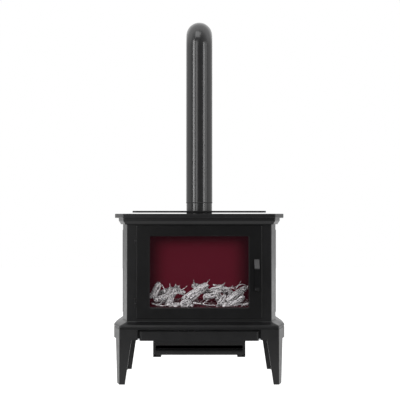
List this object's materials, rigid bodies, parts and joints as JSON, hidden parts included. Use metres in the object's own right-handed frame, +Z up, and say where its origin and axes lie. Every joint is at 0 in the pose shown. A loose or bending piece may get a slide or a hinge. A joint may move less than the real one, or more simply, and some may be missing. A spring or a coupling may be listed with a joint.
{
  "type": "electric fireplace",
  "caption": "Freestanding electric stove: canted body on tapered legs, glazed swing door, log bed, flame screen, fan heater below and a tall elbowed dummy pipe.",
  "frame": {"origin": "on the floor, under the middle of the base", "axes": "+Z up, the door faces -Y, +X to the right of a person facing the door"},
  "size_m": [0.6, 0.312, 1.298],
  "materials": {
    "cast_black": "satin black stove paint on casting",
    "body_black": "satin black stove paint",
    "panel_black": "satin black stove paint on sheet",
    "pipe_black": "semi-gloss black enamel",
    "door_black": "satin black stove paint",
    "handle_black": "semi-gloss black",
    "liner_black": "matt black",
    "zinc": "zinc plated",
    "rubber_black": "matt",
    "plastic_black": "moulded",
    "door_glass": "clear",
    "screen_red": "translucent dark red, diffusing",
    "ember_red": "translucent red resin embers",
    "log_grey": "moulded driftwood, rough grain",
    "board_green": "circuit board",
    "motor_grey": "plain",
    "element_ceramic": "matt"
  },
  "bodies": {
    "stove": {"plinth": "cast_black", "leg_front_left": "cast_black", "leg_front_right": "cast_black", "leg_rear_left": "cast_black", "leg_rear_right": "cast_black", "foot_pads": "rubber_black", "leg_bolts": "zinc", "base_plate": "zinc", "front_surround": "body_black", "side_panel_left": "panel_black", "side_panel_right": "panel_black", "rear_panel": "panel_black", "panel_screws": "zinc", "cable_gland": "plastic_black", "cornice": "cast_black", "top_plate": "body_black", "plate_spacers": "body_black", "flue_collar": "body_black", "flue_pipe": "pipe_black", "hinge_brackets": "door_black", "hinge_pins": "zinc", "magnet_catch": "plastic_black", "firebox_liner": "liner_black", "flame_screen": "screen_red", "ember_bed": "ember_red", "log_left": "log_grey", "log_centre": "log_grey", "log_cross": "log_grey", "log_right": "log_grey", "log_rear_left": "log_grey", "log_front_left": "log_grey", "log_rear_right": "log_grey", "log_front_right": "log_grey", "led_board": "board_green", "spindle_bearings": "zinc", "spindle_motor": "motor_grey", "heater_box": "panel_black", "outlet_deflector": "panel_black", "heater_brackets": "panel_black", "outlet_grille": "zinc", "heating_element": "element_ceramic", "fan_motor": "motor_grey", "fan_bearing": "plastic_black", "flap_pins": "zinc", "control_panel": "liner_black", "switch_bodies": "plastic_black"},
    "door": {"door_frame": "door_black", "door_glass": "door_glass", "glass_clips": "zinc", "door_knuckles": "door_black", "door_handle": "handle_black", "handle_bolts": "zinc", "strike_plate": "zinc"},
    "flap": {"apron_flap": "body_black"},
    "impeller": {"fan_impeller": "zinc"},
    "spindle": {"flame_spindle": "zinc"},
    "power_switch": {"rocker_power": "plastic_black"},
    "low_heat_switch": {"rocker_low_heat": "plastic_black"},
    "high_heat_switch": {"rocker_high_heat": "plastic_black"},
    "thermostat": {"thermostat_knob": "plastic_black"}
  },
  "joints": [
    {"name": "door_swing", "type": "hinge", "parent": "stove", "child": "door", "pos_m": [-0.221, -0.128, 0.4], "axis": [0, 0, -1], "range_deg": [0, 110]},
    {"name": "flap_drop", "type": "hinge", "parent": "stove", "child": "flap", "pos_m": [0, -0.142, 0.154], "axis": [1, 0, 0], "range_deg": [0, 95]},
    {"name": "impeller_spin", "type": "hinge", "parent": "stove", "child": "impeller", "pos_m": [0, 0.008, 0.159], "axis": [1, 0, 0], "continuous": true},
    {"name": "spindle_spin", "type": "hinge", "parent": "stove", "child": "spindle", "pos_m": [0, 0.07, 0.264], "axis": [1, 0, 0], "continuous": true},
    {"name": "power_rock", "type": "hinge", "parent": "stove", "child": "power_switch", "pos_m": [-0.08, -0.116, 0.168], "axis": [-1, 0, 0], "range_deg": [0, 16]},
    {"name": "low_heat_rock", "type": "hinge", "parent": "stove", "child": "low_heat_switch", "pos_m": [-0.045, -0.116, 0.168], "axis": [-1, 0, 0], "range_deg": [0, 16]},
    {"name": "high_heat_rock", "type": "hinge", "parent": "stove", "child": "high_heat_switch", "pos_m": [-0.01, -0.116, 0.168], "axis": [-1, 0, 0], "range_deg": [0, 16]},
    {"name": "thermostat_turn", "type": "hinge", "parent": "stove", "child": "thermostat", "pos_m": [0.06, -0.117, 0.168], "axis": [0, 1, 0], "range_deg": [0, 270]}
  ]
}
